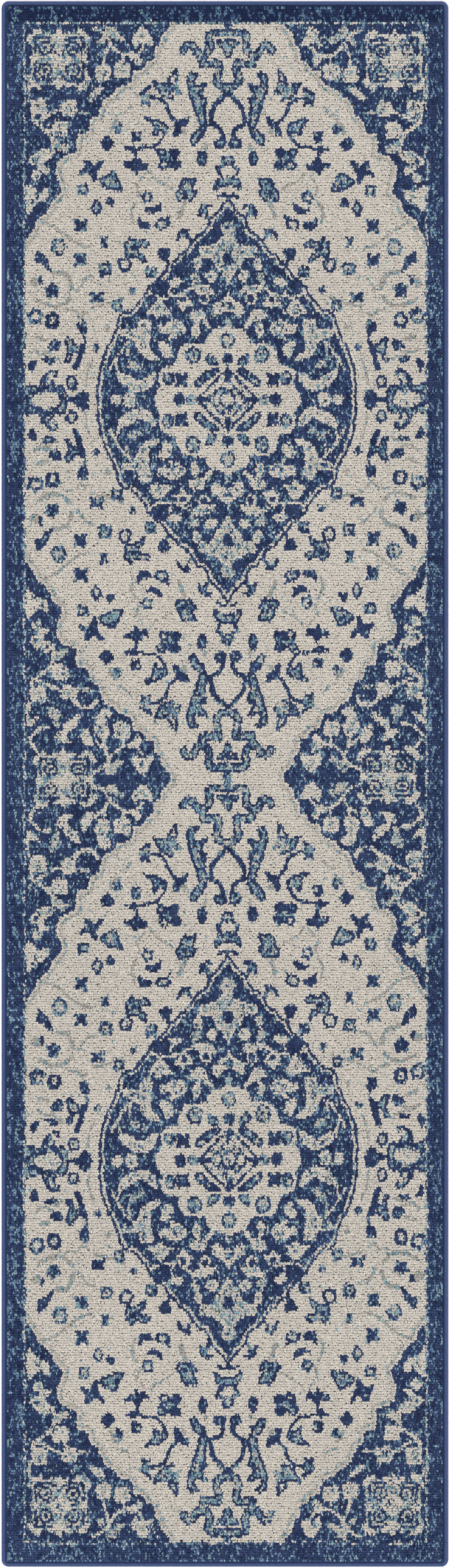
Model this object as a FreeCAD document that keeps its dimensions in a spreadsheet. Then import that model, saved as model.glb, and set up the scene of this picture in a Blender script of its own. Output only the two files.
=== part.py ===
"""Runner rug: a woven pile rug with serged edges, lying flat.

Frame: origin at the middle of the underside, +X across the rug, +Y along it
towards the head end, +Z up out of the pile. All sizes are millimetres and come
from the "Sizes" sheet.

From the floor up the rug is a back coating, the ground weave in four yarn
layers, and the cut pile. The pile is split by yarn colour and by the area that
the colour fills. The raw edge is wrapped round a cord by the serging yarn, and
a seam thread lies between the serging and the pile.
"""
import FreeCAD, Part
import math
import os
import Sketcher


Vector = FreeCAD.Vector
Rotation = FreeCAD.Rotation
Placement = FreeCAD.Placement

doc = FreeCAD.newDocument("RunnerRug")

# ---------------------------------------------------------------- driving sizes
SIZES = [
    ("rug_length", 2286.0),         # 7 ft 6 in, over the serging
    ("rug_width", 653.0),           # about 2 ft 2 in, over the serging
    ("corner_radius", 10.5),        # outer radius of each serged corner
    ("coating_thick", 0.4),         # latex size on the back
    ("lower_weft_thick", 0.6),
    ("stuffer_thick", 0.5),
    ("upper_weft_thick", 0.6),
    ("chain_thick", 0.4),
    ("pile_height", 7.0),           # cut pile above the ground weave
    ("serging_wide", 7.0),          # the serged edge, seen from above
    ("serging_high", 5.6),
    ("edge_cord_dia", 3.0),
    ("corner_lap", 25.0),           # how far an end's serging runs down each side
    ("seam_wide", 1.2),             # seam thread between serging and pile
    ("seam_high", 3.0),
    ("border_wide", 24.8),          # navy band inside the seam
    ("guard_wide", 3.5),            # ivory line inside the band
    ("pattern_shift", 10.0),        # the repeat sits this far towards the head
    ("medallion_offset", 552.0),    # medallion centre from the repeat's middle
    ("medallion_half_wide", 189.0),
    ("medallion_half_long", 275.0),
    ("centre_core_radius", 72.0),   # ivory centre of a medallion
    ("centre_lobe_radius", 24.0),
    ("centre_lobe_ring", 72.0),
    ("diamond_half_side", 29.0),
    ("spandrel_wide", 210.0),       # at its widest, from the guard line inwards
    ("spandrel_long", 312.0),       # from the head or the repeat's middle
    ("rosette_side", 78.0),
    ("corner_rosette_in", 82.0),    # its centre from the outside of the pile
    ("side_rosette_in", 84.0),
    ("palmette_half_wide", 34.0),
    ("palmette_half_long", 86.0),
    ("inner_palmette", 124.0),      # palmette centres from the repeat's middle
    ("outer_palmette", 998.0),
    ("cartouche_radius", 34.0),
    ("cartouche_in", 69.0),         # its centre from the rug's edge
    ("flower_radius", 9.0),
]
SPANDREL_STEPS = 8
CENTRE_LOBES = 8
FIELD_FLOWERS = [(81.0, 353.0), (120.0, 450.0), (177.0, 191.0), (207.0, 300.0), (209.0, 140.0)]

sheet = doc.addObject("Spreadsheet::Sheet", "Sizes")
for row, (alias, value) in enumerate(SIZES, start=1):
    sheet.set(f"A{row}", alias)
    sheet.set(f"B{row}", str(value))
    sheet.setAlias(f"B{row}", alias)
doc.recompute()

HALF_WIDE = "Sizes.rug_width / 2"
HALF_LONG = "Sizes.rug_length / 2"
GROUND_TOP = (
    "(Sizes.coating_thick + Sizes.lower_weft_thick + Sizes.stuffer_thick"
    " + Sizes.upper_weft_thick + Sizes.chain_thick)"
)
PILE_IN = "(Sizes.serging_wide + Sizes.seam_wide)"
FIELD_IN = f"({PILE_IN} + Sizes.border_wide + Sizes.guard_wide)"
SERGING_MID = "Sizes.serging_wide / 2"
nodes = []


def keep(item, label):
    """Names a finished sub-part as a node, which is written to its own file."""
    item.Label = label
    nodes.append(item)
    return item


def bind(item, **cells):
    """Binds properties to expressions; a double underscore stands for a dot."""
    for name, expression in cells.items():
        item.setExpression(name.replace("__", "."), expression)
    return item


def origin_plane(body, role):
    return next(f for f in body.Origin.OriginFeatures if f.Role == role)


def sketch_on(body, role, label):
    sketch = body.newObject("Sketcher::SketchObject", label)
    sketch.AttachmentSupport = (origin_plane(body, role), [""])
    sketch.MapMode = "FlatFace"
    return sketch


def named(sketch, name, constraint, expression):
    """Adds a dimension to a sketch and binds it to an expression."""
    index = sketch.addConstraint(constraint)
    sketch.renameConstraint(index, name)
    sketch.setExpression(f"Constraints.{name}", expression)


def centred_rectangle(sketch, wide, long):
    """A rectangle centred on the sketch's origin, of the given full sizes."""
    corners = [Vector(-50, -80, 0), Vector(50, -80, 0), Vector(50, 80, 0), Vector(-50, 80, 0)]
    for start, end in zip(corners, corners[1:] + corners[:1]):
        sketch.addGeometry(Part.LineSegment(start, end), False)
    for side in range(4):
        sketch.addConstraint(Sketcher.Constraint("Coincident", side, 2, (side + 1) % 4, 1))
    for side in (0, 2):
        sketch.addConstraint(Sketcher.Constraint("Horizontal", side))
    for side in (1, 3):
        sketch.addConstraint(Sketcher.Constraint("Vertical", side))
    sketch.addConstraint(Sketcher.Constraint("Symmetric", 0, 1, 2, 1, -1, 1))
    named(sketch, "wide", Sketcher.Constraint("DistanceX", 0, 1, 0, 2, 100.0), wide)
    named(sketch, "long", Sketcher.Constraint("DistanceY", 1, 1, 1, 2, 160.0), long)


# ---------------------------------------------------------------- ground weave
def rounded_slab(label, inset, bottom, thick):
    """A slab that stops `inset` inside the rug's edge, its corners following the serging."""
    body = doc.addObject("PartDesign::Body", label)
    sketch = sketch_on(body, "XY_Plane", label + "_outline")
    centred_rectangle(
        sketch, f"Sizes.rug_width - 2 * {inset}", f"Sizes.rug_length - 2 * {inset}"
    )
    pad = body.newObject("PartDesign::Pad", label + "_pad")
    pad.Profile = sketch
    bind(pad, Length=thick)
    doc.recompute()
    upright = [
        f"Edge{number}"
        for number, edge in enumerate(pad.Shape.Edges, start=1)
        if abs(edge.tangentAt(edge.FirstParameter).z) > 0.99
    ]
    corners = body.newObject("PartDesign::Fillet", label + "_corners")
    corners.Base = (pad, upright)
    bind(corners, Radius="Sizes.corner_radius - Sizes.serging_wide")
    body.Tip = corners
    bind(body, Placement__Base__z=bottom)
    return body


def ground_weave():
    """The back coating and the four yarn layers, each on top of the one before."""
    bottom = "0"
    for label, cell in (
        ("back_coating", "coating_thick"),
        ("lower_weft", "lower_weft_thick"),
        ("stuffer_warp", "stuffer_thick"),
        ("upper_weft", "upper_weft_thick"),
        ("chain_warp", "chain_thick"),
    ):
        keep(rounded_slab(label, "Sizes.serging_wide", bottom, f"Sizes.{cell}"), label)
        bottom += f" + Sizes.{cell}"


# ---------------------------------------------------------------- serged edge
def stadium(sketch):
    """The serging's outer section: two half rounds joined by flats, centred."""
    half = math.pi / 2
    up = Vector(0, 0, 1)
    right = Part.Circle(Vector(1, 0, 0), up, 3.0)
    left = Part.Circle(Vector(-1, 0, 0), up, 3.0)
    sketch.addGeometry(Part.ArcOfCircle(right, -half, half), False)
    sketch.addGeometry(Part.LineSegment(Vector(1, 3, 0), Vector(-1, 3, 0)), False)
    sketch.addGeometry(Part.ArcOfCircle(left, half, 3 * half), False)
    sketch.addGeometry(Part.LineSegment(Vector(-1, -3, 0), Vector(1, -3, 0)), False)
    for piece in range(4):
        sketch.addConstraint(Sketcher.Constraint("Tangent", piece, 2, (piece + 1) % 4, 1))
    sketch.addConstraint(Sketcher.Constraint("Symmetric", 0, 3, 2, 3, -1, 1))
    sketch.addConstraint(Sketcher.Constraint("Horizontal", 1))
    named(sketch, "round", Sketcher.Constraint("Radius", 0, 3.0), "Sizes.serging_high / 2")
    named(
        sketch,
        "flat",
        Sketcher.Constraint("DistanceX", 2, 3, 0, 3, 2.0),
        "Sizes.serging_wide - Sizes.serging_high",
    )


def cord_round(sketch):
    """The edge cord's section: one circle on the sketch's origin."""
    sketch.addGeometry(Part.Circle(Vector(0, 0, 0), Vector(0, 0, 1), 1.5), False)
    sketch.addConstraint(Sketcher.Constraint("Coincident", 0, 3, -1, 1))
    named(sketch, "round", Sketcher.Constraint("Radius", 0, 1.5), "Sizes.edge_cord_dia / 2")


def end_path(sketch):
    """Up one side, round the corner, across the end, round the next corner and down."""
    up = Vector(0, 0, 1)
    left = Part.Circle(Vector(-90, 90, 0), up, 10.0)
    right = Part.Circle(Vector(90, 90, 0), up, 10.0)
    sketch.addGeometry(Part.LineSegment(Vector(-100, 60, 0), Vector(-100, 90, 0)), False)
    sketch.addGeometry(Part.ArcOfCircle(left, math.pi / 2, math.pi), False)
    sketch.addGeometry(Part.LineSegment(Vector(-90, 100, 0), Vector(90, 100, 0)), False)
    sketch.addGeometry(Part.ArcOfCircle(right, 0.0, math.pi / 2), False)
    sketch.addGeometry(Part.LineSegment(Vector(100, 90, 0), Vector(100, 60, 0)), False)
    for first, at, second, to in ((0, 2, 1, 2), (1, 1, 2, 1), (2, 2, 3, 2), (3, 1, 4, 1)):
        sketch.addConstraint(Sketcher.Constraint("Tangent", first, at, second, to))
    sketch.addConstraint(Sketcher.Constraint("Vertical", 0))
    sketch.addConstraint(Sketcher.Constraint("Equal", 1, 3))
    sketch.addConstraint(Sketcher.Constraint("Symmetric", 0, 1, 4, 2, -2))
    sketch.addConstraint(Sketcher.Constraint("Symmetric", 2, 1, 2, 2, -2))
    named(
        sketch,
        "turn",
        Sketcher.Constraint("Radius", 1, 10.0),
        f"Sizes.corner_radius - {SERGING_MID}",
    )
    named(
        sketch,
        "across",
        Sketcher.Constraint("DistanceX", 0, 1, 4, 2, 200.0),
        "Sizes.rug_width - Sizes.serging_wide",
    )
    named(sketch, "lap", Sketcher.Constraint("DistanceY", 0, 1, 0, 2, 30.0), "Sizes.corner_lap")
    named(
        sketch,
        "reach",
        Sketcher.Constraint("DistanceY", -1, 1, 2, 1, 100.0),
        f"{HALF_LONG} - {SERGING_MID}",
    )


def end_run(label, section, turned):
    """A section carried along an end of the rug; turned half round it is the other end's."""
    body = doc.addObject("PartDesign::Body", label)
    path = sketch_on(body, "XY_Plane", label + "_path")
    bind(path, AttachmentOffset__Base__z="Sizes.serging_high / 2")
    end_path(path)
    profile = sketch_on(body, "XZ_Plane", label + "_section")
    bind(
        profile,
        AttachmentOffset__Base__x=f"-({HALF_WIDE} - {SERGING_MID})",
        AttachmentOffset__Base__y="Sizes.serging_high / 2",
        AttachmentOffset__Base__z=f"-({HALF_LONG} - Sizes.corner_radius - Sizes.corner_lap)",
    )
    section(profile)
    doc.recompute()
    pipe = body.newObject("PartDesign::AdditivePipe", label + "_sweep")
    pipe.Profile = profile
    pipe.Spine = (path, [])
    body.Tip = pipe
    if turned:
        body.Placement = Placement(Vector(0, 0, 0), Rotation(Vector(0, 0, 1), 180))
    return body


def side_run(label, section, side):
    """A straight length between the two ends' laps; side is -1 for left, 1 for right."""
    body = doc.addObject("PartDesign::Body", label)
    profile = sketch_on(body, "XZ_Plane", label + "_section")
    section(profile)
    pad = body.newObject("PartDesign::Pad", label + "_pad")
    pad.Profile = profile
    pad.Midplane = True
    bind(pad, Length="Sizes.rug_length - 2 * (Sizes.corner_radius + Sizes.corner_lap)")
    body.Tip = pad
    bind(
        body,
        Placement__Base__x=f"{side} * ({HALF_WIDE} - {SERGING_MID})",
        Placement__Base__z="Sizes.serging_high / 2",
    )
    return body


def serged_edge():
    """Four runs of edge cord, each wrapped by a run of serging yarn."""
    runs = (
        ("head", end_run, False),
        ("foot", end_run, True),
        ("left", side_run, -1),
        ("right", side_run, 1),
    )
    for place, make, argument in runs:
        cord = keep(make("edge_cord_" + place, cord_round, argument), "edge_cord_" + place)
        wrap = make("serging_wrap_" + place, stadium, argument)
        serging = doc.addObject("Part::Cut", "serging_" + place)
        serging.Base = wrap
        serging.Tool = cord
        keep(serging, "serging_" + place)


# ---------------------------------------------------------------- pile areas
def block(label, wide, long, x="0", y="0", high="Sizes.pile_height"):
    """An upright box on top of the ground weave, centred on x and y."""
    box = doc.addObject("Part::Box", label)
    return bind(
        box,
        Length=wide,
        Width=long,
        Height=high,
        Placement__Base__x=f"({x}) - ({wide}) / 2",
        Placement__Base__y=f"({y}) - ({long}) / 2",
        Placement__Base__z=GROUND_TOP,
    )


def disc(label, radius, x, y):
    """An upright cylinder on top of the ground weave."""
    cylinder = doc.addObject("Part::Cylinder", label)
    return bind(
        cylinder,
        Radius=radius,
        Height="Sizes.pile_height",
        Placement__Base__x=x,
        Placement__Base__y=y,
        Placement__Base__z=GROUND_TOP,
    )


def lens(label, half_wide, half_long, y):
    """Two equal discs' overlap: a pointed oval, as wide and long as stated, centred on x = 0."""
    radius = f"({half_wide} ^ 2 + {half_long} ^ 2) / (2 * {half_wide})"
    oval = doc.addObject("Part::Common", label)
    oval.Base = disc(label + "_left", radius, f"{half_wide} - {radius}", y)
    oval.Tool = disc(label + "_right", radius, f"{radius} - {half_wide}", y)
    return oval


def joined(label, parts):
    """Overlapping shapes as one solid."""
    fuse = doc.addObject("Part::MultiFuse", label)
    fuse.Shapes = parts
    fuse.Refine = True
    return fuse


def group(label, parts):
    """Separate solids that share one node."""
    compound = doc.addObject("Part::Compound", label)
    compound.Links = parts
    return compound


def without(label, base, tool):
    cut = doc.addObject("Part::Cut", label)
    cut.Base = base
    cut.Tool = tool
    return cut


def frame_ring(label, outer_in, inner_in):
    """A rectangular ring of pile between two insets from the rug's edge."""
    outer = block(
        label + "_outer", f"Sizes.rug_width - 2 * {outer_in}", f"Sizes.rug_length - 2 * {outer_in}"
    )
    inner = block(
        label + "_inner", f"Sizes.rug_width - 2 * {inner_in}", f"Sizes.rug_length - 2 * {inner_in}"
    )
    return without(label, outer, inner)


def seam_thread():
    """The stitch line on the ground weave, just inside the serging."""
    solid = rounded_slab("seam_outer", "Sizes.serging_wide", GROUND_TOP, "Sizes.seam_high")
    hole = block(
        "seam_inner",
        f"Sizes.rug_width - 2 * {PILE_IN}",
        f"Sizes.rug_length - 2 * {PILE_IN}",
        high="Sizes.seam_high",
    )
    keep(without("seam_thread", solid, hole), "seam_thread")


def corner_spandrel(label, side, end, rosette):
    """A navy corner whose inner edge is a flight of steps; the rosette's square is left out."""
    steps = []
    for step in range(SPANDREL_STEPS):
        wide = f"Sizes.spandrel_wide * {SPANDREL_STEPS - step} / {SPANDREL_STEPS}"
        long = f"Sizes.spandrel_long * {step + 1} / {SPANDREL_STEPS}"
        steps.append(
            block(
                f"{label}_step{step}",
                wide,
                long,
                f"{side} * ({HALF_WIDE} - {FIELD_IN} - {wide} / 2)",
                f"{end} * ({HALF_LONG} - {FIELD_IN} - {long} / 2)",
            )
        )
    whole = joined(label + "_whole", steps)
    return whole, keep(without(label, whole, rosette), label)


def side_spandrel(label, side, rosette):
    """The navy half-diamond on a long side, stepped towards both ends."""
    steps = []
    for step in range(SPANDREL_STEPS):
        wide = f"Sizes.spandrel_wide * {SPANDREL_STEPS - step} / {SPANDREL_STEPS}"
        long = f"2 * Sizes.spandrel_long * {step + 1} / {SPANDREL_STEPS}"
        steps.append(
            block(
                f"{label}_step{step}",
                wide,
                long,
                f"{side} * ({HALF_WIDE} - {FIELD_IN} - {wide} / 2)",
                "Sizes.pattern_shift",
            )
        )
    whole = joined(label + "_whole", steps)
    return whole, keep(without(label, whole, rosette), label)


def spandrels():
    """Four corners and two sides with their square rosettes. Returns the whole areas."""
    areas = []
    rosettes = []
    square = "Sizes.rosette_side"
    for side, hand in ((-1, "left"), (1, "right")):
        corner_x = f"{side} * ({HALF_WIDE} - {PILE_IN} - Sizes.corner_rosette_in)"
        side_x = f"{side} * ({HALF_WIDE} - {PILE_IN} - Sizes.side_rosette_in)"
        for end, place in ((1, "head"), (-1, "foot")):
            corner_y = f"{end} * ({HALF_LONG} - {PILE_IN} - Sizes.corner_rosette_in)"
            rosette = block(f"rosette_{place}_{hand}", square, square, corner_x, corner_y)
            rosettes.append(rosette)
            label = f"pile_navy_corner_{place}_{hand}"
            areas.append(corner_spandrel(label, side, end, rosette)[0])
        rosette = block(f"rosette_side_{hand}", square, square, side_x, "Sizes.pattern_shift")
        rosettes.append(rosette)
        areas.append(side_spandrel(f"pile_navy_side_{hand}", side, rosette)[0])
    keep(group("pile_aqua_rosettes", rosettes), "pile_aqua_rosettes")
    return areas


def medallion(place, y):
    """A navy pointed oval round a lobed ivory centre, which holds a diamond."""
    area = lens(
        f"medallion_{place}", "Sizes.medallion_half_wide", "Sizes.medallion_half_long", y
    )
    lobes = [disc(f"core_{place}", "Sizes.centre_core_radius", "0", y)]
    for lobe in range(CENTRE_LOBES):
        turn = 360.0 * lobe / CENTRE_LOBES
        lobes.append(
            disc(
                f"lobe_{place}_{lobe}",
                "Sizes.centre_lobe_radius",
                f"Sizes.centre_lobe_ring * cos({turn} deg)",
                f"{y} + Sizes.centre_lobe_ring * sin({turn} deg)",
            )
        )
    centre = joined(f"centre_{place}", lobes)
    keep(without(f"pile_navy_medallion_{place}", area, centre), f"pile_navy_medallion_{place}")
    diamond = doc.addObject("Part::Prism", f"diamond_{place}")
    diamond.Polygon = 4
    bind(
        diamond,
        Circumradius="Sizes.diamond_half_side * sqrt(2)",
        Height="Sizes.pile_height",
        Placement__Base__y=y,
        Placement__Base__z=GROUND_TOP,
    )
    keep(without(f"pile_ivory_centre_{place}", centre, diamond), f"pile_ivory_centre_{place}")
    return area, diamond


def small_motifs():
    """Palmettes on the middle line, cartouches at the sides, and flowers round each medallion."""
    middle = "Sizes.pattern_shift"
    palmettes = []
    for name, offset in (
        ("a", "Sizes.outer_palmette"),
        ("b", "Sizes.inner_palmette"),
        ("c", "-Sizes.inner_palmette"),
        ("d", "-Sizes.outer_palmette"),
    ):
        palmettes.append(
            lens(
                "palmette_" + name,
                "Sizes.palmette_half_wide",
                "Sizes.palmette_half_long",
                f"{middle} + {offset}",
            )
        )
    cartouches = []
    flowers = []
    for end in (-1, 1):
        centre = f"{middle} + {end} * Sizes.medallion_offset"
        for side in (-1, 1):
            x = f"{side} * ({HALF_WIDE} - Sizes.cartouche_in)"
            name = f"cartouche_{len(cartouches)}"
            cartouches.append(disc(name, "Sizes.cartouche_radius", x, centre))
            for across, along in FIELD_FLOWERS:
                for way in (-1, 1):
                    name = f"flower_{len(flowers)}"
                    y = f"{centre} + {way * along}"
                    flowers.append(disc(name, "Sizes.flower_radius", str(side * across), y))
    keep(group("pile_blue_palmettes", palmettes), "pile_blue_palmettes")
    keep(group("pile_blue_cartouches", cartouches), "pile_blue_cartouches")
    keep(group("pile_blue_flowers", flowers), "pile_blue_flowers")
    return palmettes + cartouches + flowers


def pile():
    """Every colour area, and the ivory field that fills what is left inside the guard line."""
    keep(
        frame_ring("pile_navy_border", PILE_IN, f"({PILE_IN} + Sizes.border_wide)"),
        "pile_navy_border",
    )
    keep(
        frame_ring("pile_ivory_guard_line", f"({PILE_IN} + Sizes.border_wide)", FIELD_IN),
        "pile_ivory_guard_line",
    )
    areas = spandrels()
    diamonds = []
    for place, end in (("head", 1), ("foot", -1)):
        y = f"(Sizes.pattern_shift + {end} * Sizes.medallion_offset)"
        area, diamond = medallion(place, y)
        areas.append(area)
        diamonds.append(diamond)
    keep(group("pile_aqua_diamonds", diamonds), "pile_aqua_diamonds")
    areas += small_motifs()
    ground = block(
        "field_whole", f"Sizes.rug_width - 2 * {FIELD_IN}", f"Sizes.rug_length - 2 * {FIELD_IN}"
    )
    keep(without("pile_ivory_field", ground, joined("field_holes", areas)), "pile_ivory_field")


ground_weave()
serged_edge()
seam_thread()
pile()
doc.recompute()

# ---------------------------------------------------------------- check and write
failed = [o.Name for o in doc.Objects if {"Invalid", "Error"} & set(o.State)]
if failed:
    raise RuntimeError("objects that failed: " + ", ".join(failed))
for node in nodes:
    if node.Shape.isNull() or not node.Shape.isValid() or not node.Shape.Solids:
        raise RuntimeError("bad shape: " + node.Label)

os.makedirs("parts", exist_ok=True)
for node in nodes:
    node.Shape.exportStep(f"parts/{node.Label}.step")
    print(node.Label, len(node.Shape.Solids), "solid(s)", round(node.Shape.Volume), "mm3")
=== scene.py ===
"""Runner rug, looked at straight from above: woven ground, four yarns of cut pile and a serged edge.

Everything is in metres in the CAD frame. The pattern is worked out in millimetres.
"""

import bpy
import numpy as np
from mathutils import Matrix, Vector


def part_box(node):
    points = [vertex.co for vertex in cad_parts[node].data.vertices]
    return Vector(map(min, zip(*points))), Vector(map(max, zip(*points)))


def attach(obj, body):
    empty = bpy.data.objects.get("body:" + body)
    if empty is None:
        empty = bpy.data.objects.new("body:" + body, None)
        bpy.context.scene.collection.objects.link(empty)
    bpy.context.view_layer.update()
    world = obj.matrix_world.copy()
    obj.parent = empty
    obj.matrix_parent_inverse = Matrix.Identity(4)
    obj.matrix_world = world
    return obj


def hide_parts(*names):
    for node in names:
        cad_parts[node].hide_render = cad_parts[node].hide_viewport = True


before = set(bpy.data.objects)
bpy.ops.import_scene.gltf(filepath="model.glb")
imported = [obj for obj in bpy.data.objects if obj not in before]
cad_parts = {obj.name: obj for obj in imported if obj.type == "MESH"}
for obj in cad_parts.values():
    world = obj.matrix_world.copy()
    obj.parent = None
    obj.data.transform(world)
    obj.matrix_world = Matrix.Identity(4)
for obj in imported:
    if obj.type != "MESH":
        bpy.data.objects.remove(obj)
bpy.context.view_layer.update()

MM = 0.001
HALF_W, HALF_L = 326.5, 1143.0      # the rug, over its serging
PILE_W, PILE_L = 317.9, 1134.4      # half the pile, inside the seam
GROUND_TOP, PILE_TOP = 2.5, 9.0     # where a tuft starts, and its usual tip
COLUMNS, ROWS = 376, 638            # tufts across, and rows of tufts along
STEP_X, STEP_Y = 2 * PILE_W / COLUMNS, 2 * PILE_L / ROWS
RUNS = ("head", "foot", "left", "right")
YARNS = ("navy", "blue", "aqua", "ivory")

# The pattern is one quarter, mirrored about a long middle line and about the middle of each repeat.
PATTERN_X = 3.7                     # the middle line sits a little right of the rug's
CENTRE_HEAD, CENTRE_FOOT = 561.0, -548.0
REPEAT = 9.0                        # where the head repeat ends and the foot repeat starts
GUARD_LEFT, GUARD_RIGHT, GUARD_HEAD, GUARD_FOOT = 33.9, 32.3, 31.7, 37.0   # from the edge to the guard line
GUARD_HALF = 1.6                    # half the guard line's width
SHAPE_PAD, REGION_PAD = 3, 12       # how far outside an outline its own drawing reaches
TUBE_WALL = 2.8

# Shares of navy, blue, aqua and ivory in each part of the pattern, then how far its ivory is greyed.
MIX = {
    "ink": (.93, .05, .02, .00, .0),
    "night": (.80, .12, .075, .005, .0),
    "dusk": (.52, .21, .22, .05, .1),
    "bloom": (.64, .17, .17, .02, .1),
    "teal": (.23, .18, .37, .22, .2),
    "pearl": (.06, .06, .24, .64, .12),
    "cream": (.04, .03, .07, .86, .0),
    "field": (.00, .00, .005, .995, .0),
    "mist": (.00, .01, .22, .77, .36),
    "haze": (.00, .01, .16, .83, .22),
    "border": (.76, .19, .05, .00, .0),
    "guard": (.22, .20, .24, .34, .0),
}

# Screen colours of each yarn, its darkest shade and its lightest.
PILE_SHADES = {
    "navy": ((27, 38, 72), (62, 78, 116)),
    "blue": ((62, 88, 122), (124, 154, 180)),
    "aqua": ((92, 126, 136), (154, 182, 188)),
    "ivory": ((122, 122, 119), (229, 221, 210)),
}
SERGING_SHADES = ((34, 48, 86), (84, 102, 146))
SEAM_SHADES = ((36, 48, 82), (64, 80, 118))
COTTON_SHADES = ((158, 148, 130), (202, 192, 172))
JUTE_SHADES = ((128, 104, 74), (176, 150, 112))
LATEX_SHADES = ((132, 112, 84), (196, 180, 150))


# ---------------------------------------------------------------- pattern
def grain(x, y, cell_x, cell_y, seed):
    """Smooth noise 0..1: random values at the corners of cells, eased between them by 3 t^2 - 2 t^3."""
    rng = np.random.default_rng(seed)
    gx, gy = x / cell_x, y / cell_y
    gx, gy = gx - gx.min(), gy - gy.min()
    table = rng.random((int(gy.max()) + 3, int(gx.max()) + 3))
    i, j = gx.astype(int), gy.astype(int)
    a, b = gx - i, gy - j
    a, b = a * a * (3 - 2 * a), b * b * (3 - 2 * b)
    low = table[j, i] * (1 - a) + table[j, i + 1] * a
    high = table[j + 1, i] * (1 - a) + table[j + 1, i + 1] * a
    return low * (1 - b) + high * b


def even(values):
    """Rank of every value, spread evenly over 0..1: (rank + 1/2) / count."""
    rank = np.empty(len(values))
    rank[np.argsort(values, kind="stable")] = np.arange(len(values)) + 0.5
    return rank / len(values)


def curve(points, closed, steps=4):
    """Catmull-Rom curve through the points: a cubic in t between each two, sloped by their neighbours."""
    p = np.array(points, float)
    if closed:
        q = np.vstack([p[-1:], p, p[:2]])
    else:
        q = np.vstack([2 * p[:1] - p[1:2], p, 2 * p[-1:] - p[-2:-1]])
    t = (np.arange(steps) / steps)[None, :, None]
    a, b, c, d = q[:-3, None], q[1:-2, None], q[2:-1, None], q[3:, None]
    s = 2 * b + (c - a) * t + (2 * a - 5 * b + 4 * c - d) * t ** 2
    s = (0.5 * (s + (3 * b - a - 3 * c + d) * t ** 3)).reshape(-1, 2)
    return s if closed else np.vstack([s, p[-1:]])


def reach(u, v, path, closed):
    """Distance from each point to the nearest stretch of the path, and the place along the path, 0 to 1."""
    starts = path if closed else path[:-1]
    stops = np.roll(path, -1, axis=0) if closed else path[1:]
    best = np.full(len(u), np.inf)
    place = np.zeros(len(u))
    for k, (start, step) in enumerate(zip(starts, stops - starts)):
        length = step @ step
        if length < 1e-9:       # two points in one place
            continue
        t = np.clip(((u - start[0]) * step[0] + (v - start[1]) * step[1]) / length, 0, 1)
        dist = np.hypot(u - start[0] - t * step[0], v - start[1] - t * step[1])
        hit = dist < best
        best = np.where(hit, dist, best)
        place = np.where(hit, (k + t) / len(starts), place)
    return best, place


def within(u, v, ring):
    """Even-odd test: inside is where a line from the point crosses the closed ring an odd number of times."""
    odd = np.zeros(len(u), bool)
    for (au, av), (bu, bv) in zip(ring, np.roll(ring, -1, axis=0)):
        if av == bv:
            continue
        cross = (av > v) != (bv > v)
        odd ^= cross & (u < au + (v - av) * (bu - au) / (bv - av))
    return odd


def depth_in(u, v, ring, edge=None):
    """Distance to the closed ring, or to the edge where one is given, with a minus sign outside the ring."""
    far, _ = reach(u, v, ring, True) if edge is None else reach(u, v, edge, False)
    return np.where(within(u, v, ring), far, -far)


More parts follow.
